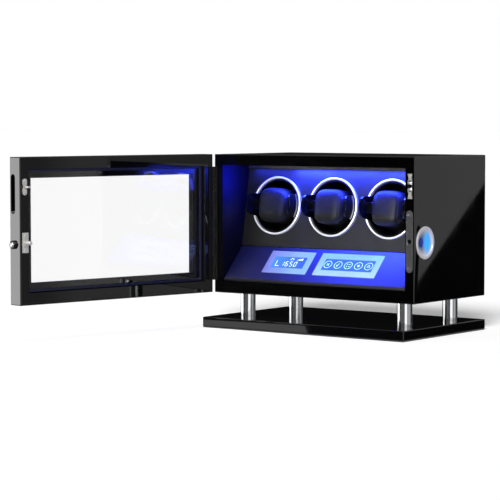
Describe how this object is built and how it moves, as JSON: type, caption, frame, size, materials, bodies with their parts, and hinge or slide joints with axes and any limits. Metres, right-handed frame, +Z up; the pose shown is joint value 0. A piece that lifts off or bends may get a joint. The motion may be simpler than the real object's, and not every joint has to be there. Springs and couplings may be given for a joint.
{
  "type": "watch winder box",
  "caption": "Lacquered watch winder cabinet on posts and a plinth, with a glazed side-hung door, belt-driven rotors holding pillows, and an inclined control deck.",
  "frame": {"origin": "centre of the plinth's felt underside, on the surface the box stands on", "axes": "+X to the right seen from the front, +Y to the back, +Z up; the door side faces -Y"},
  "size_m": [0.4446, 0.5402, 0.2552],
  "materials": {
    "black_lacquer": "piano-black gloss lacquer on MDF",
    "panel_leather": "fine-grained black leatherette, semi-matte",
    "pillow_leather": "soft black leatherette over foam",
    "gloss_plastic": "polished black ABS",
    "matte_plastic": "moulded black plastic",
    "brushed_steel": "fine brushed",
    "aluminium_profile": "satin anodised",
    "chrome": "polished",
    "brass": "turned",
    "belt_rubber": "matte",
    "felt": "short black felt",
    "door_glass": "clear float glass",
    "lit_frame": "frosted acrylic, lit from behind",
    "display": "lit display window",
    "led_diffuser": "frosted, lit blue",
    "circuit_board": "green solder mask"
  },
  "bodies": {
    "cabinet": {"back_panel": "matte_plastic", "base_felt": "felt", "base_plinth": "black_lacquer", "bezel_ring_1": "chrome", "bezel_ring_2": "chrome", "bezel_ring_3": "chrome", "cabinet_shell": "black_lacquer", "catch_body": "brushed_steel", "control_board": "circuit_board", "control_deck": "gloss_plastic", "dc_jack": "gloss_plastic", "drive_belt_1": "belt_rubber", "drive_belt_2": "belt_rubber", "drive_belt_3": "belt_rubber", "drive_housing_1": "matte_plastic", "drive_housing_2": "matte_plastic", "drive_housing_3": "matte_plastic", "fingerprint_ring": "brushed_steel", "fingerprint_sensor": "gloss_plastic", "hinge_leaf_cabinet": "brushed_steel", "hinge_pin": "brushed_steel", "lcd_bezel": "lit_frame", "lcd_screen": "display", "led_bar": "aluminium_profile", "led_diffuser": "led_diffuser", "lock_body": "matte_plastic", "lock_faceplate": "brushed_steel", "motor_1": "brushed_steel", "motor_2": "brushed_steel", "motor_3": "brushed_steel", "post_back_left": "brushed_steel", "post_back_right": "brushed_steel", "post_front_left": "brushed_steel", "post_front_right": "brushed_steel", "touch_bezel": "lit_frame", "touch_panel": "display", "winder_panel": "panel_leather"},
    "door": {"door_frame": "black_lacquer", "door_glass": "door_glass", "glazing_bead": "gloss_plastic", "catch_strike": "brushed_steel", "latch_striker": "brushed_steel", "key_barrel": "chrome", "hinge_leaf_door": "brushed_steel"},
    "key_plug": {"key_plug": "brushed_steel"},
    "rotor_1": {"rotor_cup_1": "gloss_plastic", "rotor_pulley_1": "matte_plastic"},
    "pillow_1": {"pillow_1": "pillow_leather"},
    "motor_shaft_1": {"motor_pulley_1": "brass"},
    "rotor_2": {"rotor_cup_2": "gloss_plastic", "rotor_pulley_2": "matte_plastic"},
    "pillow_2": {"pillow_2": "pillow_leather"},
    "motor_shaft_2": {"motor_pulley_2": "brass"},
    "rotor_3": {"rotor_cup_3": "gloss_plastic", "rotor_pulley_3": "matte_plastic"},
    "pillow_3": {"pillow_3": "pillow_leather"},
    "motor_shaft_3": {"motor_pulley_3": "brass"},
    "lock_bolt": {"lock_bolt": "brushed_steel"},
    "ball_upper": {"catch_ball_upper": "chrome"},
    "ball_lower": {"catch_ball_lower": "chrome"}
  },
  "joints": [
    {"name": "door_hinge", "type": "hinge", "parent": "cabinet", "child": "door", "pos_m": [-0.175, -0.084, 0.0502], "axis": [0, 0, -1], "range_deg": [-101.2, 8.8]},
    {"name": "key_turn", "type": "hinge", "parent": "door", "child": "key_plug", "pos_m": [-0.19168, -0.0807, 0.1342], "axis": [-0.1942, -0.981, 0], "range_deg": [0, 90]},
    {"name": "rotor_spin_1", "type": "hinge", "parent": "cabinet", "child": "rotor_1", "pos_m": [-0.1005, -0.02481, 0.17865], "axis": [0, -0.9881, 0.1538], "continuous": true},
    {"name": "motor_spin_1", "type": "hinge", "parent": "cabinet", "child": "motor_shaft_1", "pos_m": [-0.1005, -0.03373, 0.12134], "axis": [0, -0.9881, 0.1538], "continuous": true},
    {"name": "pillow_pull_1", "type": "slide", "parent": "rotor_1", "child": "pillow_1", "axis": [0, -0.9881, 0.1538], "range_m": [0, 0.038]},
    {"name": "rotor_spin_2", "type": "hinge", "parent": "cabinet", "child": "rotor_2", "pos_m": [0, -0.02481, 0.17865], "axis": [0, -0.9881, 0.1538], "continuous": true},
    {"name": "motor_spin_2", "type": "hinge", "parent": "cabinet", "child": "motor_shaft_2", "pos_m": [0, -0.03373, 0.12134], "axis": [0, -0.9881, 0.1538], "continuous": true},
    {"name": "pillow_pull_2", "type": "slide", "parent": "rotor_2", "child": "pillow_2", "axis": [0, -0.9881, 0.1538], "range_m": [0, 0.038]},
    {"name": "rotor_spin_3", "type": "hinge", "parent": "cabinet", "child": "rotor_3", "pos_m": [0.1005, -0.02481, 0.17865], "axis": [0, -0.9881, 0.1538], "continuous": true},
    {"name": "motor_spin_3", "type": "hinge", "parent": "cabinet", "child": "motor_shaft_3", "pos_m": [0.1005, -0.03373, 0.12134], "axis": [0, -0.9881, 0.1538], "continuous": true},
    {"name": "pillow_pull_3", "type": "slide", "parent": "rotor_3", "child": "pillow_3", "axis": [0, -0.9881, 0.1538], "range_m": [0, 0.038]},
    {"name": "bolt_slide", "type": "slide", "parent": "cabinet", "child": "lock_bolt", "axis": [0, 0, 1], "range_m": [0, 0.0024]},
    {"name": "ball_upper_slide", "type": "slide", "parent": "cabinet", "child": "ball_upper", "axis": [0, 0, 1], "range_m": [0, 0.001], "stiffness_N_per_m": 400},
    {"name": "ball_lower_slide", "type": "slide", "parent": "cabinet", "child": "ball_lower", "axis": [0, 0, -1], "range_m": [0, 0.001], "stiffness_N_per_m": 400, "springref_m": -0.0005}
  ],
  "couplings": [
    {"joint": "motor_spin_1", "follows": "rotor_spin_1", "ratio": 4},
    {"joint": "motor_spin_2", "follows": "rotor_spin_2", "ratio": 4},
    {"joint": "motor_spin_3", "follows": "rotor_spin_3", "ratio": 4}
  ]
}
